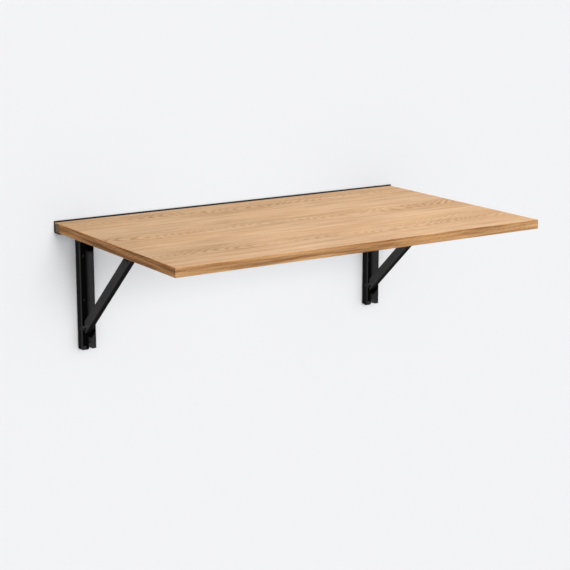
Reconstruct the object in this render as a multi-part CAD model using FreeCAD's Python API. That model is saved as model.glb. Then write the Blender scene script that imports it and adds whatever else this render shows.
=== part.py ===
import FreeCAD, Part
import math
import os

# Wall mounted drop leaf table with two folding steel brackets.
# Millimetres. X runs along the wall, +Y points into the wall, +Z is up.
# The origin is on the wall plane, at mid width, level with the table top.

# Driving dimensions: the top
TABLE_WIDTH = 1000.0
TABLE_DEPTH = 600.0
TOP_THICKNESS = 22.0
LIPPING = 2.0
ARRIS = 1.0
LEAF_GAP = 0.4

# The steel angle on the wall
RAIL_STEEL = 3.0
RAIL_LEG = 30.0
RAIL_ABOVE_TOP = 3.5
RAIL_BEND = 4.0
REBATE_DEPTH = 4.0
REBATE_TOP = -3.0

# The uprights
BRACKET_INSET = 53.0
UPRIGHT_WIDTH = 38.0
UPRIGHT_DEPTH = 24.0
UPRIGHT_BOTTOM = -319.0
UPRIGHT_TOP_GAP = 0.5
BRACKET_STEEL = 2.5
STEEL_BEND = 3.0
CAP_PLATE = 2.0
CAP_PLUG = 6.0
CAP_GAP = 0.5
CAP_SLOT_GAP = 1.0
CAP_LIP_WIDTH = 20.0
CAP_LIP = 7.0
CAP_LIP_CHAMFER = 3.0

# The braces
BRACE_WIDTH = 14.0
BRACE_HEIGHT = 26.0
BRACE_STEEL = 1.5
BRACE_CORNER = 2.0
BRACE_ANGLE = 42.0
PLUG_LENGTH = 26.0

# The arms under the leaf
ARM_DEPTH = 22.0
EAR_RADIUS = 9.0
EAR_FRONT = -36.0
EAR_BLEND = -45.0
ARM_BEYOND_CATCH = 32.0
CHEEK_GAP = 0.6
CATCH_SEAT_GAP = 0.15
CATCH_FRONT_GAP = 0.4
CATCH_BACK_GAP = 1.0
CATCH_HOOK = 1.4
RAMP_ANGLE = 15.0
CATCH_LEAD_IN = 3.0
CATCH_TOP_CORNER = 5.0
ARM_NOSE_CORNER = 5.0

# Pivots and pins
PIVOT_Y = -16.2
ARM_PIVOT_Z = -39.5
BRACE_PIVOT_Z = -266.0
ARM_PIN_RADIUS = 4.0
BRACE_PIN_RADIUS = 5.0
PIVOT_TUBE_RADIUS = 8.0
CROSS_PIN_RADIUS = 4.0
SLEEVE_RADIUS = 6.0
RUNNING_GAP = 0.05
END_GAP = 0.2
PIN_BEYOND_ARM = 1.0

# Screws and their holes
WALL_HOLE_RADIUS = 2.75
UPRIGHT_HOLE_Z = (-90.0, -200.0)
RAIL_HOLE_X = (-400.0, 0.0, 400.0)
ARM_SCREW_Y = (-60.0, -165.0, -286.0)
ARM_SCREW_STAGGER = 12.0
SCREW_RADIUS = 2.0
SCREW_IN_WOOD = 15.0
SCREW_HEAD_ACROSS = 6.4
SCREW_HEAD = 1.8

# Places worked out from the driving dimensions
HALF_WIDTH = TABLE_WIDTH / 2
UNDERSIDE = -TOP_THICKNESS
LIP_UNDERSIDE = UNDERSIDE - RAIL_STEEL
LEAF_BACK = -RAIL_LEG - LEAF_GAP
LEAF_FRONT = -TABLE_DEPTH
RAIL_HOLE_Z = (RAIL_ABOVE_TOP + LIP_UNDERSIDE) / 2
HALF_UPRIGHT = UPRIGHT_WIDTH / 2
UPRIGHT_INNER = HALF_UPRIGHT - BRACKET_STEEL
UPRIGHT_TOP = LIP_UNDERSIDE - UPRIGHT_TOP_GAP
BRACKET_X = HALF_WIDTH - BRACKET_INSET - HALF_UPRIGHT
HALF_BRACE = BRACE_WIDTH / 2
END_RADIUS = BRACE_HEIGHT / 2
ARM_INNER = HALF_UPRIGHT + CHEEK_GAP
ARM_OUTER = ARM_INNER + BRACKET_STEEL
ARM_PLATE_LOW = UNDERSIDE - BRACKET_STEEL
ARM_LOW = UNDERSIDE - ARM_DEPTH
BRACE_LENGTH = (ARM_PIVOT_Z - BRACE_PIVOT_Z) / math.sin(math.radians(BRACE_ANGLE))
CATCH_Z = ARM_PIVOT_Z
CATCH_Y = PIVOT_Y - BRACE_LENGTH * math.cos(math.radians(BRACE_ANGLE))
ARM_END = CATCH_Y - ARM_BEYOND_CATCH
CROSS_PIN_HALF = ARM_OUTER + PIN_BEYOND_ARM
LEFT, RIGHT = -1, 1
NEAR = 0.1
SAME_POINT = 1e-6

X_AXIS = FreeCAD.Vector(1, 0, 0)
Y_AXIS = FreeCAD.Vector(0, 1, 0)
Z_AXIS = FreeCAD.Vector(0, 0, 1)


def box(x0, x1, y0, y1, z0, z1):
    """A box between two corners."""
    return Part.makeBox(x1 - x0, y1 - y0, z1 - z0, FreeCAD.Vector(x0, y0, z0))


def rod_x(radius, x0, x1, y, z):
    """A round bar along X."""
    return Part.makeCylinder(radius, x1 - x0, FreeCAD.Vector(x0, y, z), X_AXIS)


def tube_x(outer, inner, half, y, z):
    """A round tube along X, centred on X = 0."""
    return rod_x(outer, -half, half, y, z).cut(rod_x(inner, -half, half, y, z))


def rounded_face(corners, place):
    """A flat face whose corners are (u, v, radius); place turns u, v into a vector."""
    edges = []
    ends = []
    count = len(corners)
    for i, (u, v, radius) in enumerate(corners):
        here = place(u, v)
        if radius == 0:
            ends.append((here, here))
            continue
        before = place(*corners[i - 1][:2]) - here
        after = place(*corners[(i + 1) % count][:2]) - here
        before.normalize()
        after.normalize()
        half = before.getAngle(after) / 2
        reach = radius / math.tan(half)
        first = here + before * reach
        last = here + after * reach
        inward = before + after
        inward.normalize()
        middle = here + inward * (radius / math.sin(half) - radius)
        edges.append(Part.Arc(first, middle, last).toShape())
        ends.append((first, last))
    for i in range(count):
        start = ends[i][1]
        stop = ends[(i + 1) % count][0]
        if start.distanceToPoint(stop) > SAME_POINT:
            edges.append(Part.LineSegment(start, stop).toShape())
    return Part.Face(Part.Wire(Part.__sortEdges__(edges)))


def side_profile(corners, x0, x1):
    """A solid extruded along X from an outline of (y, z, radius)."""
    face = rounded_face(corners, lambda y, z: FreeCAD.Vector(x0, y, z))
    return face.extrude(X_AXIS * (x1 - x0))


def front_profile(corners, y0, y1):
    """A solid extruded along Y from an outline of (x, z, radius)."""
    face = rounded_face(corners, lambda x, z: FreeCAD.Vector(x, y0, z))
    return face.extrude(Y_AXIS * (y1 - y0))


def plan_profile(corners, z0, z1):
    """A solid extruded along Z from an outline of (x, y, radius)."""
    face = rounded_face(corners, lambda x, y: FreeCAD.Vector(x, y, z0))
    return face.extrude(Z_AXIS * (z1 - z0))


def folded_channel(half, back, open_edge):
    """A folded channel's section as (across, along, radius), open towards open_edge."""
    inside = half - BRACKET_STEEL
    floor = back + math.copysign(BRACKET_STEEL, open_edge - back)
    return [
        (-half, open_edge, 0),
        (-half, back, STEEL_BEND),
        (half, back, STEEL_BEND),
        (half, open_edge, 0),
        (inside, open_edge, 0),
        (inside, floor, 0),
        (-inside, floor, 0),
        (-inside, open_edge, 0),
    ]


def edges_near(shape, test):
    """The edges whose middle passes the test."""
    return [edge for edge in shape.Edges if test(edge.CenterOfMass)]


def is_level(z):
    """Whether a height is that of the leaf's top or underside."""
    return min(abs(z), abs(z - UNDERSIDE)) < NEAR


def moved_x(shape, x):
    """A copy of the shape moved along X."""
    copy = shape.copy()
    copy.translate(X_AXIS * x)
    return copy


# Wood screws ---------------------------------------------------------------

def screw_shank(x, y):
    """The round shank of a screw driven up through an arm's plate into the leaf."""
    base = FreeCAD.Vector(x, y, ARM_PLATE_LOW)
    return Part.makeCylinder(SCREW_RADIUS, BRACKET_STEEL + SCREW_IN_WOOD, base)


def wood_screw(x, y):
    """A screw with a hexagon head under an arm's plate."""
    corner_radius = SCREW_HEAD_ACROSS / math.sqrt(3)
    corners = []
    for i in range(6):
        turn = math.radians(60 * i)
        corners.append((x + corner_radius * math.cos(turn), y + corner_radius * math.sin(turn), 0))
    head = plan_profile(corners, ARM_PLATE_LOW - SCREW_HEAD, ARM_PLATE_LOW)
    return head.fuse(screw_shank(x, y))


def arm_screw_places(side):
    """Where the screws of one arm stand, staggered about its middle."""
    places = []
    for i, y in enumerate(ARM_SCREW_Y):
        stagger = ARM_SCREW_STAGGER if i % 2 else -ARM_SCREW_STAGGER
        places.append((side * (BRACKET_X + stagger), y))
    return places


def drilled(shape, places):
    """The shape with a hole for each screw's shank."""
    for place in places:
        shape = shape.cut(screw_shank(*place))
    return shape


# Fixed parts on the wall ---------------------------------------------------

def wall_rail():
    """Steel angle, its tall leg on the wall and its lip under the ledge strip."""
    corners = [
        (0, RAIL_ABOVE_TOP, 0),
        (0, LIP_UNDERSIDE, RAIL_BEND),
        (-RAIL_LEG, LIP_UNDERSIDE, 0),
        (-RAIL_LEG, UNDERSIDE, 0),
        (-RAIL_STEEL, UNDERSIDE, 0),
        (-RAIL_STEEL, RAIL_ABOVE_TOP, 0),
    ]
    rail = side_profile(corners, -HALF_WIDTH, HALF_WIDTH)
    for x in RAIL_HOLE_X:
        face = FreeCAD.Vector(x, -RAIL_STEEL, RAIL_HOLE_Z)
        rail = rail.cut(Part.makeCylinder(WALL_HOLE_RADIUS, RAIL_STEEL, face, Y_AXIS))
    return rail


def ledge_strip():
    """Fixed oak strip behind the leaf, rebated over the rail's wall screws."""
    corners = [
        (-RAIL_LEG, 0, 0),
        (-RAIL_STEEL, 0, 0),
        (-RAIL_STEEL, REBATE_TOP, 0),
        (-RAIL_STEEL - REBATE_DEPTH, REBATE_TOP, 0),
        (-RAIL_STEEL - REBATE_DEPTH, UNDERSIDE, 0),
        (-RAIL_LEG, UNDERSIDE, 0),
    ]
    strip = side_profile(corners, -HALF_WIDTH, HALF_WIDTH)
    ends = edges_near(strip, lambda p: abs(p.x) > HALF_WIDTH - NEAR and p.z > -NEAR)
    return strip.makeFillet(ARRIS, ends)


def upright():
    """Channel of folded steel, open to the front, with pin and wall screw holes."""
    section = folded_channel(HALF_UPRIGHT, 0, -UPRIGHT_DEPTH)
    channel = plan_profile(section, UPRIGHT_BOTTOM + CAP_PLATE, UPRIGHT_TOP)
    channel = channel.cut(rod_x(ARM_PIN_RADIUS, -HALF_UPRIGHT, HALF_UPRIGHT, PIVOT_Y, ARM_PIVOT_Z))
    channel = channel.cut(rod_x(BRACE_PIN_RADIUS, -HALF_UPRIGHT, HALF_UPRIGHT, PIVOT_Y, BRACE_PIVOT_Z))
    for z in UPRIGHT_HOLE_Z:
        face = FreeCAD.Vector(0, -BRACKET_STEEL, z)
        channel = channel.cut(Part.makeCylinder(WALL_HOLE_RADIUS, BRACKET_STEEL, face, Y_AXIS))
    return channel


def foot_cap():
    """Moulded end cap, slotted for the hanging brace, with a lip that keeps it off the wall."""
    slot = HALF_BRACE + CAP_SLOT_GAP
    slot_back = PIVOT_Y + END_RADIUS + CAP_GAP
    corners = [
        (-HALF_UPRIGHT, -UPRIGHT_DEPTH, 0),
        (-HALF_UPRIGHT, 0, STEEL_BEND),
        (HALF_UPRIGHT, 0, STEEL_BEND),
        (HALF_UPRIGHT, -UPRIGHT_DEPTH, 0),
        (slot, -UPRIGHT_DEPTH, 0),
        (slot, slot_back, 0),
        (-slot, slot_back, 0),
        (-slot, -UPRIGHT_DEPTH, 0),
    ]
    plate_top = UPRIGHT_BOTTOM + CAP_PLATE
    cap = plan_profile(corners, UPRIGHT_BOTTOM, plate_top)
    front = CAP_GAP - UPRIGHT_DEPTH
    back = -BRACKET_STEEL - CAP_GAP
    for x0, x1 in ((slot, UPRIGHT_INNER), (-UPRIGHT_INNER, -slot)):
        cap = cap.fuse(box(x0, x1, front, back, plate_top, plate_top + CAP_PLUG))
    lip_low = UPRIGHT_BOTTOM - CAP_LIP
    half_lip = CAP_LIP_WIDTH / 2
    lip = [
        (-half_lip, plate_top, 0),
        (-half_lip, lip_low + CAP_LIP_CHAMFER, 0),
        (CAP_LIP_CHAMFER - half_lip, lip_low, 0),
        (half_lip - CAP_LIP_CHAMFER, lip_low, 0),
        (half_lip, lip_low + CAP_LIP_CHAMFER, 0),
        (half_lip, plate_top, 0),
    ]
    return cap.fuse(front_profile(lip, slot_back, 0)).removeSplitter()


def arm_pin():
    """Pin fixed in the upright, flush with the arm's cheeks, that the arm turns on."""
    return rod_x(ARM_PIN_RADIUS, -ARM_OUTER, ARM_OUTER, PIVOT_Y, ARM_PIVOT_Z)


def brace_pin():
    """Pin fixed across the upright, flush on both sides, that the brace turns on."""
    return rod_x(BRACE_PIN_RADIUS, -HALF_UPRIGHT, HALF_UPRIGHT, PIVOT_Y, BRACE_PIVOT_Z)


# Leaf and its arms -----------------------------------------------------------

def leaf_board():
    """Veneered board of the leaf, without its lippings."""
    half = HALF_WIDTH - LIPPING
    board = box(-half, half, LEAF_FRONT + LIPPING, LEAF_BACK, UNDERSIDE, 0)
    return drilled(board, arm_screw_places(LEFT) + arm_screw_places(RIGHT))


def lipping_front():
    """Solid oak lipping along the front edge, over the ends of the side lippings."""
    strip = box(-HALF_WIDTH, HALF_WIDTH, LEAF_FRONT, LEAF_FRONT + LIPPING, UNDERSIDE, 0)
    return strip.makeFillet(ARRIS, edges_near(strip, lambda p: p.y < LEAF_FRONT + NEAR))


def lipping_side(side):
    """Solid oak lipping along one end of the leaf."""
    x0, x1 = sorted((side * HALF_WIDTH, side * (HALF_WIDTH - LIPPING)))
    strip = box(x0, x1, LEAF_FRONT + LIPPING, LEAF_BACK, UNDERSIDE, 0)
    outer = edges_near(strip, lambda p: abs(p.x) > HALF_WIDTH - NEAR and is_level(p.z))
    return strip.makeFillet(ARRIS, outer)


def arm_side_outline():
    """The arm seen from its side: ear, cheek, hooked catch for the sleeve, and ramp."""
    notch_back = CATCH_Y + SLEEVE_RADIUS + CATCH_BACK_GAP
    notch_front = CATCH_Y - SLEEVE_RADIUS - CATCH_FRONT_GAP
    seat = CATCH_Z + SLEEVE_RADIUS + CATCH_SEAT_GAP
    hook = CATCH_Z + SLEEVE_RADIUS - CATCH_HOOK
    ramp_end = hook - (notch_front - ARM_END) * math.tan(math.radians(RAMP_ANGLE))
    plate_back = LEAF_BACK - CAP_GAP
    ear_top = ARM_PIVOT_Z + EAR_RADIUS
    ear_low = ARM_PIVOT_Z - EAR_RADIUS
    ear_back = PIVOT_Y + EAR_RADIUS
    return [
        (ARM_END, UNDERSIDE, 0),
        (plate_back, UNDERSIDE, 0),
        (plate_back, ear_top, 0),
        (ear_back, ear_top, EAR_RADIUS),
        (ear_back, ear_low, EAR_RADIUS),
        (EAR_FRONT, ear_low, 0),
        (EAR_BLEND, ARM_LOW, 0),
        (notch_back + CATCH_LEAD_IN, ARM_LOW, 0),
        (notch_back, ARM_LOW + CATCH_LEAD_IN, 0),
        (notch_back, seat, CATCH_TOP_CORNER),
        (notch_front, seat, 0),
        (notch_front, hook, 0),
        (ARM_END, ramp_end, ARM_NOSE_CORNER),
    ]


def arm(side):
    """Channel under the leaf that nests over the upright when the leaf hangs."""
    section = folded_channel(ARM_OUTER, UNDERSIDE, ARM_PIVOT_Z - EAR_RADIUS)
    channel = front_profile(section, ARM_END, PIVOT_Y + EAR_RADIUS)
    channel = channel.common(side_profile(arm_side_outline(), -ARM_OUTER, ARM_OUTER))
    bore = rod_x(ARM_PIN_RADIUS + RUNNING_GAP, -ARM_OUTER, ARM_OUTER, PIVOT_Y, ARM_PIVOT_Z)
    return drilled(moved_x(channel.cut(bore), side * BRACKET_X), arm_screw_places(side))


# Brace, standing on its pivot until it is turned into place --------------------

def brace_outline(half):
    """Bar with round ends about both pin centres."""
    middle = box(-half, half, -END_RADIUS, END_RADIUS, 0, BRACE_LENGTH)
    foot = rod_x(END_RADIUS, -half, half, 0, 0)
    head = rod_x(END_RADIUS, -half, half, 0, BRACE_LENGTH)
    return middle.fuse(foot).fuse(head).removeSplitter()


def tube_section(inset, corner):
    """The brace's rectangular section, set in by inset, as a long bar."""
    half_x = HALF_BRACE - inset
    half_y = END_RADIUS - inset
    corners = [
        (-half_x, -half_y, corner),
        (half_x, -half_y, corner),
        (half_x, half_y, corner),
        (-half_x, half_y, corner),
    ]
    return plan_profile(corners, -END_RADIUS, BRACE_LENGTH + END_RADIUS)


def brace_tube():
    """Rectangular tube with round ends, bored for its pivot tube and sleeve."""
    tube = tube_section(0, BRACE_CORNER).cut(tube_section(BRACE_STEEL, 0))
    tube = tube.common(brace_outline(HALF_BRACE))
    tube = tube.cut(rod_x(PIVOT_TUBE_RADIUS, -HALF_BRACE, HALF_BRACE, 0, 0))
    return tube.cut(rod_x(SLEEVE_RADIUS, -HALF_BRACE, HALF_BRACE, 0, BRACE_LENGTH))


def brace_plug(low, high, bore_radius, bore_at):
    """Nylon plug that closes the tube between two heights, bored for what crosses it."""
    half = HALF_BRACE - BRACE_STEEL
    deep = END_RADIUS - BRACE_STEEL
    core = box(-half, half, -deep, deep, low, high).common(brace_outline(half))
    return core.cut(rod_x(bore_radius, -half, half, 0, bore_at))


def brace_plugs():
    """The plug around the pivot tube and the one around the glide sleeve."""
    top = BRACE_LENGTH + END_RADIUS
    foot = brace_plug(-END_RADIUS, PLUG_LENGTH - END_RADIUS, PIVOT_TUBE_RADIUS, 0)
    head = brace_plug(top - PLUG_LENGTH, top, SLEEVE_RADIUS, BRACE_LENGTH)
    return Part.makeCompound([foot, head])


def pivot_tube():
    """Steel tube through the brace's foot; it keeps the brace mid channel on its pin."""
    return tube_x(PIVOT_TUBE_RADIUS, BRACE_PIN_RADIUS + RUNNING_GAP, UPRIGHT_INNER - END_GAP, 0, 0)


def glide_sleeve():
    """Nylon sleeve through the brace's head; its ends rest in the arm's catches."""
    return tube_x(SLEEVE_RADIUS, CROSS_PIN_RADIUS, CROSS_PIN_HALF, 0, BRACE_LENGTH)


def cross_pin():
    """Steel pin that carries the glide sleeve."""
    return rod_x(CROSS_PIN_RADIUS, -CROSS_PIN_HALF, CROSS_PIN_HALF, 0, BRACE_LENGTH)


def raised(shape, side):
    """Turns a brace piece about its pivot into its raised place in one bracket."""
    copy = shape.copy()
    copy.rotate(FreeCAD.Vector(0, 0, 0), X_AXIS, 90 - BRACE_ANGLE)
    copy.translate(FreeCAD.Vector(side * BRACKET_X, PIVOT_Y, BRACE_PIVOT_Z))
    return copy


# Output -----------------------------------------------------------------------

def shared_nodes():
    """The nodes that the table has once, each as a list of solids."""
    arm_places = arm_screw_places(LEFT) + arm_screw_places(RIGHT)
    return {
        "wall_rail": [wall_rail()],
        "ledge_strip": [ledge_strip()],
        "arm_pins": [moved_x(arm_pin(), side * BRACKET_X) for side in (LEFT, RIGHT)],
        "brace_pins": [moved_x(brace_pin(), side * BRACKET_X) for side in (LEFT, RIGHT)],
        "leaf_board": [leaf_board()],
        "lipping_front": [lipping_front()],
        "lipping_left": [lipping_side(LEFT)],
        "lipping_right": [lipping_side(RIGHT)],
        "arm_screws": [wood_screw(*place) for place in arm_places],
    }


def bracket_nodes(side):
    """The nodes of one bracket, without their left or right ending."""
    return {
        "upright": moved_x(upright(), side * BRACKET_X),
        "foot_cap": moved_x(foot_cap(), side * BRACKET_X),
        "arm": arm(side),
        "brace_tube": raised(brace_tube(), side),
        "brace_plugs": raised(brace_plugs(), side),
        "pivot_tube": raised(pivot_tube(), side),
        "cross_pin": raised(cross_pin(), side),
        "glide_sleeve": raised(glide_sleeve(), side),
    }


def export_node(name, shapes):
    """Writes one node's solids to its own file."""
    solids = [solid for shape in shapes for solid in shape.Solids]
    result = solids[0] if len(solids) == 1 else Part.makeCompound(solids)
    result.exportStep(os.path.join("parts", name + ".step"))


os.makedirs("parts", exist_ok=True)
for node, solids in shared_nodes().items():
    export_node(node, solids)
for ending, side in (("_left", LEFT), ("_right", RIGHT)):
    for node, solid in bracket_nodes(side).items():
        export_node(node + ending, [solid])
print("brace length", round(BRACE_LENGTH, 2), "catch at Y", round(CATCH_Y, 2))
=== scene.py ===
import math

import bmesh
import bpy
from mathutils import Matrix, Vector


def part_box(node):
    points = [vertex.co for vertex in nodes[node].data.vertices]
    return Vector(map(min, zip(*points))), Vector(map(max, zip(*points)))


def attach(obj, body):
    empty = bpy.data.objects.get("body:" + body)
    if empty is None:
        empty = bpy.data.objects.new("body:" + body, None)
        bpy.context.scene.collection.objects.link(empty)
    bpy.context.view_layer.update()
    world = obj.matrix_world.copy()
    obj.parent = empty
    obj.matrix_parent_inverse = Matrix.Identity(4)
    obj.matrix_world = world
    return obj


# The looks of a wall mounted drop leaf table: oiled oak on folding black steel brackets.
# Metres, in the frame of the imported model: origin on the wall, +Y into the wall, +Z up.

MM = 0.001

# Camera, with its lens and sensor in millimetres as Blender has them, and angles in degrees
LENS = 97.85
SENSOR_WIDTH = 36.0
CLIP_END = 50.0
CAMERA_AT = (-2008 * MM, -3366 * MM, 693 * MM)
CAMERA_YAW = 32.76
CAMERA_PITCH = 13.07

# Stage
WALL_BEHIND = 0.5 * MM
STAGE_SIZE = 12.0
FLOOR_Z = -1.3
WALL_TONE = (0.87, 0.875, 0.89, 1.0)
FLOOR_TONE = (0.80, 0.80, 0.81, 1.0)
AMBIENT = 0.15
AMBIENT_TONE = (1.0, 1.0, 1.0, 1.0)
BACKDROP = 0.86
BACKDROP_TONE = (0.99, 0.99, 1.0, 1.0)

# Far lights, with angles in degrees. Azimuth runs left from the wall's normal.
WALL_WASH = {"azimuth": 0, "elevation": 10, "strength": 1.86, "angle": 120}
WALL_FRONT = {"azimuth": 0, "elevation": 14, "strength": 0.97, "angle": 14}
FLOOR_WASH = {"azimuth": 0, "elevation": 80, "strength": 1.2, "angle": 60}
STEEL_KEY = {"azimuth": 52, "elevation": 35, "strength": 9.4, "angle": 8}
STEEL_BACK = {"azimuth": -150, "elevation": 5, "strength": 0.8, "angle": 60}
OAK_FRONT = {"azimuth": -20, "elevation": 15, "strength": 1.5, "angle": 40}
OAK_BELOW = {"azimuth": 0, "elevation": -60, "strength": 0.6, "angle": 60}

# The soft box above the table, with its power in watts and its spread in degrees
OAK_TOP = {
    "place": (0.5, -1.0, 1.8),
    "target": (0.2, -0.4, 0.0),
    "size": (1.6, 1.0),
    "power": 40.0,
    "spread": 180,
}

# Unseen cards that keep the steel's key light off the left faces of these nodes
FLAGGED = ("upright_left", "upright_right", "wall_rail")
FLAG_GAP = 3 * MM

# Where nearly all values of a noise lie
NOISE_SPAN = (0.3, 0.7)

# Oak's tones
OAK_LIGHT = (0.668, 0.444, 0.268)
OAK_DARK = (0.345, 0.197, 0.095)
LIPPING_LIGHT = (0.85, 0.50, 0.232)
LIPPING_DARK = (0.31, 0.138, 0.049)
# Painted shade: the end lippings' tones are darker and warmer than the front lipping's, standing in for the
# shade that falls on the left end face
END_SHADED_LIGHT = (0.86, 0.415, 0.133)
END_SHADED_DARK = (0.28, 0.108, 0.028)
WARM_TINT = (1.0, 0.95, 0.88, 1.0)
SAWN_TINT = (0.55, 0.52, 0.52, 1.0)
LIGHT_UP_TO = 0.15
MIDDLE_AT = 0.60
DARK_FROM = 1.0

# Oak's growth rings: a tapering log, sawn beside its heart once in each veneer leaf
VENEER_LEAF = 215 * MM
VENEER_CENTRE = -500 * MM
HEART_DEPTH = 30 * MM
HEART_WANDER = 50 * MM
RING_PITCH = 6.0 * MM
RING_RISE = 60 * MM
RING_TREMBLE = 0.9
TAPER = 0.24
DEPTH_SLANT = 0.6

# How early the wood is, through one year's ring
RING_SHADES = ((0.0, 0.75), (0.16, 1.0), (0.42, 0.25), (0.78, 0.0), (1.0, 0.75))

# Oak's features: how many there are in a metre along the grain, and across it
WANDER = (1.3, 2.0)
RISE = (3.2, 9.0)
TREMBLE = (11.0, 45.0)
FADING = (3.0, 6.5)
BANDS = (0.8, 7.0)
STREAKS = (4.5, 52.0)
THREADS = (9.0, 210.0)
FIBRES = (40.0, 1500.0)
PORES = (150.0, 2600.0)
BLUSH = (2.6, 8.0)
FADING_SHIFT = 5.3
BLUSH_SHIFT = 3.1

# The spans of noise over which those features come in
FADING_SPAN = (0.40, 0.60)
STREAK_SPAN = (0.34, 0.68)
THREAD_SPAN = (0.32, 0.70)
PORE_SPAN = (0.56, 0.68)
BLUSH_SPAN = (0.34, 0.66)

# Arches fade with distance from the heart and along the board. Pores gather in early wood.
ARCH_REACH = (30 * MM, 85 * MM)
ARCH_REST = 0.25
ARCH_FADING = (0.30, 1.25)
EARLY_SPAN = (0.0, 0.9)
PORE_SHARE = (0.3, 1.0)

# How squarely a face looks along the grain, from long grain to a sawn end
SAWN_SPAN = (0.6, 0.9)

# How much each feature darkens the oak
ARCH_WEIGHT = 0.42
BAND_WEIGHT = 0.10
STREAK_WEIGHT = 0.40
THREAD_WEIGHT = 0.30
FIBRE_WEIGHT = 0.08
PORE_WEIGHT = 0.36

# Oak's surface
PORE_DEPTH = 0.12 * MM
PORE_RELIEF = 0.6
EARLY_HOLLOW = 0.35
FIBRE_DEPTH = 0.03 * MM
FIBRE_RELIEF = 0.5
OAK_ROUGHNESS = (0.50, 0.64)
OAK_GLOSS = 0.25

# The other finishes
COAT_DARK = (0.0085, 0.0085, 0.0088)
COAT_LIGHT = (0.0155, 0.0155, 0.0158)
COAT_GRAIN_SPAN = (0.35, 0.65)
COAT_GRAIN_WEIGHT = 0.55
COAT_ROUGHNESS = (0.46, 0.56)
COAT_GLOSS = 0.16
ZINC_DARK = (0.055, 0.055, 0.06)
ZINC_LIGHT = (0.11, 0.11, 0.115)
ZINC_LINES = (60.0, 2400.0)
ZINC_ROUGHNESS = (0.30, 0.42)
PLASTIC_DARK = (0.0115, 0.0115, 0.0118)
PLASTIC_LIGHT = (0.0155, 0.0155, 0.0158)
PLASTIC_ROUGHNESS = (0.50, 0.66)
PLASTIC_GLOSS = 0.25
NYLON_DARK = (0.024, 0.024, 0.026)
NYLON_LIGHT = (0.034, 0.034, 0.036)
NYLON_LINES = (3000.0, 40.0)
NYLON_ROUGHNESS = (0.34, 0.42)
PAINT_ROUGHNESS = 0.9

# Steel edges, with angles in degrees
STEEL_EDGE = 0.35 * MM
EDGE_SEGMENTS = 2
WELD_WITHIN = 0.005 * MM
FLAT_WITHIN = 0.5
EDGE_FROM = 35

# Small fasteners
ROUND_STEPS = 48
TURNED_EDGE_FROM = 40
STAR_POINTS = 6
STAR_DEPTH = 0.16
DOME_STEPS = 6
DOME_TURN = 0.86 * math.pi / 2
RIM_SHARE = 0.35
SOCKET_MARGIN = 1.5
SOCKET_MOUTH = 1.08
SOCKET_LEAD_IN = 0.08
SOCKET_FLOOR = 0.25
LEDGE_SCREW_X = (-340 * MM, -170 * MM, 0.0, 170 * MM, 340 * MM)
LEDGE_SCREW_Y = -17 * MM
LEDGE_SCREW_RADIUS = 3.8 * MM
LEDGE_SCREW_HEAD = 2.0 * MM
LEDGE_SOCKET = 1.25 * MM
WALL_SCREW_Z = (-90 * MM, -200 * MM)
WALL_SCREW_RADIUS = 4.4 * MM
WALL_SCREW_HEAD = 2.2 * MM
WALL_SOCKET = 1.9 * MM
WEB_FRONT = -2.5 * MM
PIN_CAP_RADIUS = 5.4 * MM
PIN_CAP_HEIGHT = 1.7 * MM

SIDES = ("left", "right")
OAK_NODES = ("leaf_board", "ledge_strip", "lipping_front", "lipping_left", "lipping_right")

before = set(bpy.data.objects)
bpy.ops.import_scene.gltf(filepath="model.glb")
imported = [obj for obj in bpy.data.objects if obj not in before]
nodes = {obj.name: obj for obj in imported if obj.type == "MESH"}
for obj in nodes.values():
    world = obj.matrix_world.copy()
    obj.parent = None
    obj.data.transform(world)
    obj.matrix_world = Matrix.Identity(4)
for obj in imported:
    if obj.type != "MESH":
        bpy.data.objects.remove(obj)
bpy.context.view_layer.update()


# Shader helpers ----------------------------------------------------------------

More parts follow.
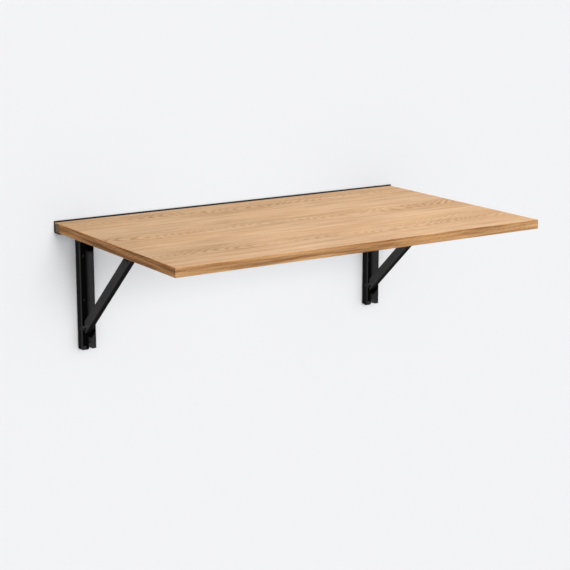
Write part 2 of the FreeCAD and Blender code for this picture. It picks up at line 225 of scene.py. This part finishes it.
class Graph:
    """A material's node tree, with one call to add and wire a node."""

    def __init__(self, name):
        self.material = bpy.data.materials.new(name)
        self.material.use_nodes = True
        self.tree = self.material.node_tree
        self.shader = self.tree.nodes["Principled BSDF"]
        self.output = self.tree.nodes["Material Output"]

    def add(self, kind, inputs=(), out=0, **settings):
        """Adds a node, fills or wires its inputs, and returns one of its output sockets."""
        made = self.tree.nodes.new("ShaderNode" + kind)
        for name, value in settings.items():
            setattr(made, name, value)
        for key, value in dict(inputs).items():
            self.fill(made, key, value)
        return made.outputs[out]

    def fill(self, made, key, value):
        """Wires a socket into an input, or sets the input's own value."""
        if isinstance(value, bpy.types.NodeSocket):
            self.tree.links.new(value, made.inputs[key])
        else:
            made.inputs[key].default_value = value

    def place(self):
        """The point on the object at rest, in metres."""
        return self.add("TexCoord", out="Object")

    def math(self, operation, first, second=0.0, third=0.0):
        """A calculation, by Blender's name for the operation."""
        return self.add("Math", {0: first, 1: second, 2: third}, operation=operation)

    def noise(self, vector, scale, detail=2.0, roughness=0.5):
        """Noise from 0 to 1, whose scale is how many features a metre holds."""
        inputs = {"Vector": vector, "Scale": scale, "Detail": detail, "Roughness": roughness}
        return self.add("TexNoise", inputs)

    def stretched_noise(self, vector, feature, detail=2.0, roughness=0.5, narrow=1.0, shift=0.0):
        """Noise from 0 to 1, from how many features a metre holds along X and how many across it."""
        along, across = feature
        inputs = {
            "Vector": vector,
            "Scale": (along, across * narrow, across * narrow),
            "Location": (0.0, shift, 0.0),
        }
        return self.noise(self.add("Mapping", inputs), 1.0, detail, roughness)

    def ranged(self, value, span, onto=(0.0, 1.0)):
        """The value's span turned into another, held at its ends."""
        inputs = {"Value": value}
        inputs["From Min"], inputs["From Max"] = span
        inputs["To Min"], inputs["To Max"] = onto
        return self.add("MapRange", inputs)

    def ramp(self, value, stops):
        """A colour for each value, from (position, (r, g, b)) stops."""
        made = self.tree.nodes.new("ShaderNodeValToRGB")
        elements = made.color_ramp.elements
        while len(elements) < len(stops):
            elements.new(1.0)
        for element, (position, colour) in zip(elements, stops):
            element.position = position
            element.color = (*colour, 1.0)
        self.tree.links.new(value, made.inputs["Fac"])
        return made.outputs["Color"]

    def tinted(self, factor, colour, tint):
        """The colour, multiplied by a tint as far as the factor says."""
        # a Mix node takes its two colours at inputs 6 and 7, and gives a colour at output 2
        inputs = {"Factor": factor, 6: colour, 7: tint}
        return self.add("Mix", inputs, out=2, data_type="RGBA", blend_type="MULTIPLY")

    def bump(self, height, distance, strength, below=None):
        """A surface normal from a height, over an earlier bump if one is given."""
        inputs = {"Height": height, "Distance": distance, "Strength": strength}
        if below is not None:
            inputs["Normal"] = below
        return self.add("Bump", inputs)

    def finish(self, **sockets):
        """Fills the shader's sockets, named with underscores for spaces."""
        for name, value in sockets.items():
            self.fill(self.shader, name.replace("_", " "), value)
        return self.material


# Materials -----------------------------------------------------------------------

def growth_rings(g, place):
    """How early in its year the wood grew, from 0 to 1, and its distance from the heart's line."""
    length, across, deep = g.add("SeparateXYZ", {0: place}).node.outputs
    wander = g.stretched_noise(place, WANDER)
    line = g.math("MULTIPLY_ADD", wander, HEART_WANDER, across)
    line = g.math("SUBTRACT", line, VENEER_CENTRE + HEART_WANDER / 2)
    beside = g.math("WRAP", line, VENEER_LEAF / 2, -VENEER_LEAF / 2)
    radius = g.math("SQRT", g.math("MULTIPLY_ADD", beside, beside, HEART_DEPTH ** 2))
    rise = g.stretched_noise(place, RISE, detail=3.0)
    rise = g.math("MULTIPLY_ADD", rise, RING_RISE, g.math("MULTIPLY", length, -TAPER))
    radius = g.math("ADD", radius, g.math("MULTIPLY_ADD", deep, DEPTH_SLANT, rise))
    tremble = g.stretched_noise(place, TREMBLE, detail=3.0)
    turns = g.math("MULTIPLY_ADD", tremble, RING_TREMBLE, g.math("DIVIDE", radius, RING_PITCH))
    shades = [(position, (shade,) * 3) for position, shade in RING_SHADES]
    early = g.ramp(g.math("FRACT", turns), shades)
    return early, g.math("ABSOLUTE", beside)


def oak(name, light, dark, along="X", arches=1.0, narrow=1.0, streaky=1.0, offset=0.0):
    """Oiled oak whose grain runs along one axis, with flat sawn arches, streaks and pores."""
    g = Graph(name)
    place = g.place()
    facing = g.add("TexCoord", out="Normal")
    if along == "Y":
        quarter = {"Angle": math.pi / 2}
        place = g.add("VectorRotate", {"Vector": place, **quarter}, rotation_type="Z_AXIS")
        facing = g.add("VectorRotate", {"Vector": facing, **quarter}, rotation_type="Z_AXIS")
    place = g.add("Mapping", {"Vector": place, "Location": (offset, 0.0, offset)})
    early, from_heart = growth_rings(g, place)
    arch = g.math("MULTIPLY", early, g.ranged(from_heart, ARCH_REACH, (arches, ARCH_REST * arches)))
    fading = g.stretched_noise(place, FADING, shift=FADING_SHIFT)
    arch = g.math("MULTIPLY", arch, g.ranged(fading, FADING_SPAN, ARCH_FADING))
    # broad bands, streaks, threads, fibres and open pores, all drawn out along the grain
    bands = g.stretched_noise(place, BANDS)
    streaks = g.stretched_noise(place, STREAKS, detail=3.0, roughness=0.62, narrow=narrow)
    threads = g.stretched_noise(place, THREADS, detail=3.0, roughness=0.6)
    fibres = g.stretched_noise(place, FIBRES)
    pores = g.stretched_noise(place, PORES, detail=1.0)
    pores = g.math("MULTIPLY", g.ranged(pores, PORE_SPAN), g.ranged(early, EARLY_SPAN, PORE_SHARE))
    layers = (
        (g.ranged(bands, NOISE_SPAN), BAND_WEIGHT),
        (g.ranged(streaks, STREAK_SPAN), STREAK_WEIGHT * streaky),
        (g.ranged(threads, THREAD_SPAN), THREAD_WEIGHT),
        (g.ranged(fibres, NOISE_SPAN), FIBRE_WEIGHT),
        (pores, PORE_WEIGHT),
    )
    tone = g.math("MULTIPLY", arch, ARCH_WEIGHT)
    for layer, weight in layers:
        tone = g.math("MULTIPLY_ADD", layer, weight, tone)
    middle = tuple((a + b) / 2 for a, b in zip(light, dark))
    colour = g.ramp(tone, [(LIGHT_UP_TO, light), (MIDDLE_AT, middle), (DARK_FROM, dark)])
    blush = g.stretched_noise(place, BLUSH, shift=BLUSH_SHIFT)
    colour = g.tinted(g.ranged(blush, BLUSH_SPAN), colour, WARM_TINT)
    # sawn ends drink more oil, so they are darker
    sawn = g.math("ABSOLUTE", g.add("SeparateXYZ", {0: facing}))
    colour = g.tinted(g.ranged(sawn, SAWN_SPAN), colour, SAWN_TINT)
    hollow = g.math("MULTIPLY_ADD", pores, -1.0, g.math("MULTIPLY", early, -EARLY_HOLLOW))
    normal = g.bump(hollow, PORE_DEPTH, PORE_RELIEF)
    normal = g.bump(fibres, FIBRE_DEPTH, FIBRE_RELIEF, below=normal)
    roughness = g.ranged(tone, (0.0, 1.0), OAK_ROUGHNESS)
    return g.finish(Base_Color=colour, Roughness=roughness, Normal=normal, Specular_IOR_Level=OAK_GLOSS)


def powder_coat(name):
    """Fine textured matt black powder coat on steel."""
    g = Graph(name)
    grain = g.noise(g.place(), scale=1500.0, detail=3.0, roughness=0.7)
    orange_peel = g.noise(g.place(), scale=380.0)
    cloud = g.noise(g.place(), scale=26.0, detail=3.0)
    tone = g.math("MULTIPLY", g.ranged(cloud, NOISE_SPAN), 1 - COAT_GRAIN_WEIGHT)
    tone = g.math("MULTIPLY_ADD", g.ranged(grain, COAT_GRAIN_SPAN), COAT_GRAIN_WEIGHT, tone)
    colour = g.ramp(tone, [(0.0, COAT_DARK), (1.0, COAT_LIGHT)])
    normal = g.bump(orange_peel, distance=0.10 * MM, strength=0.6)
    normal = g.bump(grain, distance=0.06 * MM, strength=0.8, below=normal)
    roughness = g.ranged(cloud, NOISE_SPAN, COAT_ROUGHNESS)
    return g.finish(Base_Color=colour, Roughness=roughness, Normal=normal, Specular_IOR_Level=COAT_GLOSS)


def black_zinc(name):
    """Black zinc plate over drawn steel, with fine lines along the bar."""
    g = Graph(name)
    lines = g.stretched_noise(g.place(), ZINC_LINES)
    cloud = g.noise(g.place(), scale=160.0, detail=3.0)
    colour = g.ramp(g.ranged(cloud, NOISE_SPAN), [(0.0, ZINC_DARK), (1.0, ZINC_LIGHT)])
    normal = g.bump(lines, distance=0.02 * MM, strength=0.6)
    roughness = g.ranged(cloud, NOISE_SPAN, ZINC_ROUGHNESS)
    return g.finish(Base_Color=colour, Roughness=roughness, Normal=normal, Metallic=1.0)


def moulded_plastic(name):
    """Black plastic with a fine spark eroded texture."""
    g = Graph(name)
    grain = g.noise(g.place(), scale=1800.0, detail=3.0, roughness=0.7)
    cloud = g.noise(g.place(), scale=60.0)
    colour = g.ramp(g.ranged(cloud, NOISE_SPAN), [(0.0, PLASTIC_DARK), (1.0, PLASTIC_LIGHT)])
    normal = g.bump(grain, distance=0.04 * MM, strength=0.6)
    roughness = g.ranged(grain, NOISE_SPAN, PLASTIC_ROUGHNESS)
    return g.finish(Base_Color=colour, Roughness=roughness, Normal=normal, Specular_IOR_Level=PLASTIC_GLOSS)


def turned_nylon(name):
    """Black nylon with faint turning lines round its axis."""
    g = Graph(name)
    lines = g.stretched_noise(g.place(), NYLON_LINES, detail=1.0)
    cloud = g.noise(g.place(), scale=90.0)
    colour = g.ramp(g.ranged(cloud, NOISE_SPAN), [(0.0, NYLON_DARK), (1.0, NYLON_LIGHT)])
    normal = g.bump(lines, distance=0.02 * MM, strength=0.5)
    roughness = g.ranged(cloud, NOISE_SPAN, NYLON_ROUGHNESS)
    return g.finish(Base_Color=colour, Roughness=roughness, Normal=normal)


def stage_paint(name, tone):
    """Plain matt paint with a faint roller texture, clear to a camera that looks from behind."""
    g = Graph(name)
    roller = g.bump(g.noise(g.place(), scale=220.0), distance=0.05 * MM, strength=0.3)
    g.finish(Base_Color=tone, Roughness=PAINT_ROUGHNESS, Normal=roller)
    behind = g.add("NewGeometry", out="Backfacing")
    seen = g.add("LightPath", out="Is Camera Ray")
    clear = g.add("BsdfTransparent")
    mix = g.add("MixShader", {0: g.math("MULTIPLY", behind, seen), 1: g.shader.outputs[0], 2: clear})
    g.fill(g.output, "Surface", mix)
    return g.material


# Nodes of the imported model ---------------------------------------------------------

def dress(node, material):
    """Gives a CAD node its material."""
    materials = nodes[node].data.materials
    materials.clear()
    materials.append(material)


def soften_edges(node):
    """Rounds a steel node's sharp edges a little, without moving its faces."""
    thing = nodes[node]
    weld = thing.modifiers.new("weld", "WELD")
    weld.merge_threshold = WELD_WITHIN
    flats = thing.modifiers.new("flats", "DECIMATE")
    flats.decimate_type = "DISSOLVE"
    flats.angle_limit = math.radians(FLAT_WITHIN)
    bevel = thing.modifiers.new("bevel", "BEVEL")
    bevel.width = STEEL_EDGE
    bevel.segments = EDGE_SEGMENTS
    bevel.limit_method = "ANGLE"
    bevel.angle_limit = math.radians(EDGE_FROM)
    bevel.harden_normals = False
    bevel.use_clamp_overlap = True


veneer = oak("oak_veneer", OAK_LIGHT, OAK_DARK)
ledge_oak = oak("oak_ledge", OAK_LIGHT, OAK_DARK, offset=0.37)
lipping = {"arches": 0.3, "narrow": 2.3, "streaky": 1.8}
front_oak = oak("oak_front_lipping", LIPPING_LIGHT, LIPPING_DARK, offset=1.7, **lipping)
# the end lippings take the darker, warmer tones, which paint shade onto both end faces
shaded_end_oak = oak("oak_end_lipping_painted_shade", END_SHADED_LIGHT, END_SHADED_DARK, along="Y", offset=2.9, **lipping)
steel = powder_coat("black_powder_coat")
zinc = black_zinc("black_zinc")
plastic = moulded_plastic("black_plastic")
nylon = turned_nylon("black_nylon")

dress("leaf_board", veneer)
dress("ledge_strip", ledge_oak)
dress("lipping_front", front_oak)
dress("wall_rail", steel)
soften_edges("wall_rail")
for node in ("arm_pins", "brace_pins", "arm_screws"):
    dress(node, zinc)
for side in SIDES:
    dress("lipping_" + side, shaded_end_oak)
    dress("glide_sleeve_" + side, nylon)
    for part in ("upright_", "arm_", "brace_tube_"):
        dress(part + side, steel)
        soften_edges(part + side)
    for part in ("foot_cap_", "brace_plugs_"):
        dress(part + side, plastic)
    for part in ("pivot_tube_", "cross_pin_"):
        dress(part + side, zinc)


# Small fasteners ----------------------------------------------------------------------

def ring_radius(shape, size, turn):
    """The radius of a round, hexagonal or star shaped ring at one angle."""
    if shape == "hexagon":
        sector = math.pi / 3
        return size / math.cos(turn % sector - sector / 2)
    if shape == "star":
        return size * (1 + STAR_DEPTH * math.cos(STAR_POINTS * turn))
    return size


def turned_piece(name, rings, place, outward, material, body):
    """A turned piece from its rings (shape, size, height), closed at both ends, facing outward."""
    turns = [math.tau * i / ROUND_STEPS for i in range(ROUND_STEPS)]
    mesh = bmesh.new()
    loops = []
    for shape, size, height in rings:
        loop = []
        for turn in turns:
            radius = ring_radius(shape, size, turn)
            loop.append(mesh.verts.new((radius * math.cos(turn), radius * math.sin(turn), height)))
        loops.append(loop)
    for low, high in zip(loops, loops[1:]):
        for i in range(ROUND_STEPS):
            j = (i + 1) % ROUND_STEPS
            mesh.faces.new((low[i], low[j], high[j], high[i]))
    mesh.faces.new(reversed(loops[0]))
    mesh.faces.new(loops[-1])
    facing = Vector(outward).to_track_quat("Z", "Y").to_matrix().to_4x4()
    mesh.transform(Matrix.Translation(place) @ facing)
    data = bpy.data.meshes.new(name)
    mesh.to_mesh(data)
    mesh.free()
    data.shade_smooth()
    data.set_sharp_from_angle(angle=math.radians(TURNED_EDGE_FROM))
    data.materials.append(material)
    made = bpy.data.objects.new(name, data)
    bpy.context.scene.collection.objects.link(made)
    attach(made, body)
    return made


def domed_rings(radius, height):
    """The rings of a low dome: an upright rim, then a curve that nearly closes."""
    rings = [("round", radius, 0.0)]
    for i in range(DOME_STEPS + 1):
        turn = DOME_TURN * i / DOME_STEPS
        rise = RIM_SHARE + (1 - RIM_SHARE) * math.sin(turn) / math.sin(DOME_TURN)
        rings.append(("round", radius * math.cos(turn), height * rise))
    return rings


def socket_head(radius, height, shape, socket):
    """The rings of a domed screw head with a socket sunk into it."""
    rings = [ring for ring in domed_rings(radius, height) if ring[1] > socket * SOCKET_MARGIN]
    top = rings[-1][2]
    rings.append((shape, socket * SOCKET_MOUTH, top))
    rings.append((shape, socket, top - height * SOCKET_LEAD_IN))
    rings.append((shape, socket, height * SOCKET_FLOOR))
    return rings


def ledge_screws():
    """Button head screws up through the rail's lip into the ledge strip."""
    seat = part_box("wall_rail")[0].z
    rings = socket_head(LEDGE_SCREW_RADIUS, LEDGE_SCREW_HEAD, "hexagon", LEDGE_SOCKET)
    made = []
    for i, x in enumerate(LEDGE_SCREW_X):
        place = (x, LEDGE_SCREW_Y, seat)
        name = f"ledge_screw_{i + 1}"
        made.append(turned_piece(name, rings, place, (0, 0, -1), zinc, "wall_frame"))
    return made


def wall_screws(side):
    """Pan head screws through one upright's web into the wall."""
    low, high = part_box("upright_" + side)
    rings = socket_head(WALL_SCREW_RADIUS, WALL_SCREW_HEAD, "star", WALL_SOCKET)
    made = []
    for i, z in enumerate(WALL_SCREW_Z):
        place = ((low.x + high.x) / 2, WEB_FRONT, z)
        name = f"wall_screw_{side}_{i + 1}"
        made.append(turned_piece(name, rings, place, (0, -1, 0), zinc, "wall_frame"))
    return made


def pin_caps(side):
    """Push-on caps over both ends of one brace's cross pin."""
    low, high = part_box("cross_pin_" + side)
    middle = (low + high) / 2
    rings = domed_rings(PIN_CAP_RADIUS, PIN_CAP_HEIGHT)
    made = []
    for ending, x, outward in (("a", low.x, -1), ("b", high.x, 1)):
        place = (x, middle.y, middle.z)
        name = f"pin_cap_{side}_{ending}"
        made.append(turned_piece(name, rings, place, (outward, 0, 0), zinc, "brace_" + side))
    return made


fasteners = ledge_screws()
for side in SIDES:
    fasteners += wall_screws(side) + pin_caps(side)


# Stage, light and camera -------------------------------------------------------------

def flat_object(name, corners):
    """An object of one four sided face that isn't part of the table."""
    mesh = bpy.data.meshes.new(name)
    mesh.from_pydata(corners, [], [(0, 1, 2, 3)])
    made = bpy.data.objects.new(name, mesh)
    bpy.context.scene.collection.objects.link(made)
    return made


def stage_plane(name, centre, normal, material):
    """A square stage plane that faces along its normal and shows in no reflection."""
    half = STAGE_SIZE / 2
    square = [(-half, -half, 0), (half, -half, 0), (half, half, 0), (-half, half, 0)]
    turn = Vector(normal).to_track_quat("Z", "Y").to_matrix().to_4x4()
    made = flat_object(name, [Vector(centre) + turn @ Vector(corner) for corner in square])
    made.data.materials.append(material)
    made.visible_glossy = False
    return made


def flag(node):
    """A studio flag: an unseen card beside a node's left face that only blocks light."""
    low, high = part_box(node)
    x = low.x - FLAG_GAP
    corners = [(x, low.y, low.z), (x, high.y, low.z), (x, high.y, high.z), (x, low.y, high.z)]
    made = flat_object("flag_" + node, corners)
    for ray in ("camera", "diffuse", "glossy", "transmission", "volume_scatter"):
        setattr(made, "visible_" + ray, False)
    return made


def group(name, members):
    """A collection that lists what a light shines on, or what may shade it."""
    made = bpy.data.collections.new(name)
    for member in members:
        made.objects.link(member)
    return made


def aim(name, light, towards, lit, shaded_by):
    """Puts a light in the scene, shining along a direction on some objects only."""
    made = bpy.data.objects.new(name, light)
    made.rotation_mode = "QUATERNION"
    made.rotation_quaternion = Vector(towards).to_track_quat("-Z", "Y")
    made.light_linking.receiver_collection = lit
    made.light_linking.blocker_collection = shaded_by
    bpy.context.scene.collection.objects.link(made)
    return made


def from_angles(azimuth, elevation):
    """The direction of light that comes from an azimuth, left of the wall's normal, and a height."""
    turn = math.radians(azimuth)
    rise = math.radians(elevation)
    return (math.sin(turn) * math.cos(rise), math.cos(turn) * math.cos(rise), -math.sin(rise))


def far_light(name, lit, shaded_by, azimuth, elevation, strength, angle):
    """Even light from far away, as wide across as its angle."""
    light = bpy.data.lights.new(name, "SUN")
    light.energy = strength
    light.angle = math.radians(angle)
    aim(name, light, from_angles(azimuth, elevation), lit, shaded_by)


def soft_box(name, lit, shaded_by, place, target, size, power, spread):
    """A broad light nearby that the camera doesn't see."""
    light = bpy.data.lights.new(name, "AREA")
    light.shape = "RECTANGLE"
    light.size, light.size_y = size
    light.energy = power
    light.spread = math.radians(spread)
    made = aim(name, light, Vector(target) - Vector(place), lit, shaded_by)
    made.location = place
    made.visible_camera = False


def background(tree, tone, strength):
    """A world background of one tone."""
    made = tree.nodes.new("ShaderNodeBackground")
    made.inputs["Color"].default_value = tone
    made.inputs["Strength"].default_value = strength
    return made.outputs[0]


def pale_world():
    """Even light from all round, in front of a paler backdrop."""
    world = bpy.data.worlds.new("studio")
    world.use_nodes = True
    tree = world.node_tree
    tree.nodes.clear()
    path = tree.nodes.new("ShaderNodeLightPath")
    mix = tree.nodes.new("ShaderNodeMixShader")
    output = tree.nodes.new("ShaderNodeOutputWorld")
    tree.links.new(path.outputs["Is Camera Ray"], mix.inputs["Fac"])
    tree.links.new(background(tree, AMBIENT_TONE, AMBIENT), mix.inputs[1])
    tree.links.new(background(tree, BACKDROP_TONE, BACKDROP), mix.inputs[2])
    tree.links.new(mix.outputs[0], output.inputs["Surface"])
    bpy.context.scene.world = world


def camera():
    """The camera at the viewing angle, level with the horizon left to right."""
    data = bpy.data.cameras.new("camera")
    data.lens = LENS
    data.sensor_width = SENSOR_WIDTH
    data.clip_end = CLIP_END
    made = bpy.data.objects.new("camera", data)
    made.location = CAMERA_AT
    made.rotation_euler = (math.radians(90 - CAMERA_PITCH), 0.0, math.radians(-CAMERA_YAW))
    bpy.context.scene.collection.objects.link(made)
    bpy.context.scene.camera = made


wall = stage_plane("wall", (0.0, WALL_BEHIND, 0.0), (0, -1, 0), stage_paint("wall_paint", WALL_TONE))
floor = stage_plane("floor", (0.0, 0.0, FLOOR_Z), (0, 0, 1), stage_paint("floor_paint", FLOOR_TONE))
wooden = [nodes[name] for name in OAK_NODES]
metal = [thing for name, thing in nodes.items() if name not in OAK_NODES] + fasteners
# neither the floor nor the oak throws light back, so the wall stays neutral
for thing in [floor] + wooden:
    thing.visible_diffuse = False

stage = group("stage", [wall, floor])
ground = group("ground", [floor])
oak_parts = group("oak_parts", wooden)
steel_parts = group("steel_parts", metal)
whole_table = group("whole_table", wooden + metal)
key_blockers = group("key_blockers", metal + [flag(node) for node in FLAGGED])
far_light("wall_wash", stage, steel_parts, **WALL_WASH)
far_light("wall_front", stage, whole_table, **WALL_FRONT)
far_light("floor_wash", ground, whole_table, **FLOOR_WASH)
far_light("steel_key", steel_parts, key_blockers, **STEEL_KEY)
far_light("steel_back", steel_parts, whole_table, **STEEL_BACK)
far_light("oak_front", oak_parts, oak_parts, **OAK_FRONT)
far_light("oak_below", oak_parts, whole_table, **OAK_BELOW)
soft_box("oak_top", oak_parts, whole_table, **OAK_TOP)
pale_world()
camera()
view = bpy.context.scene.view_settings
view.view_transform = "Standard"
view.look = "None"
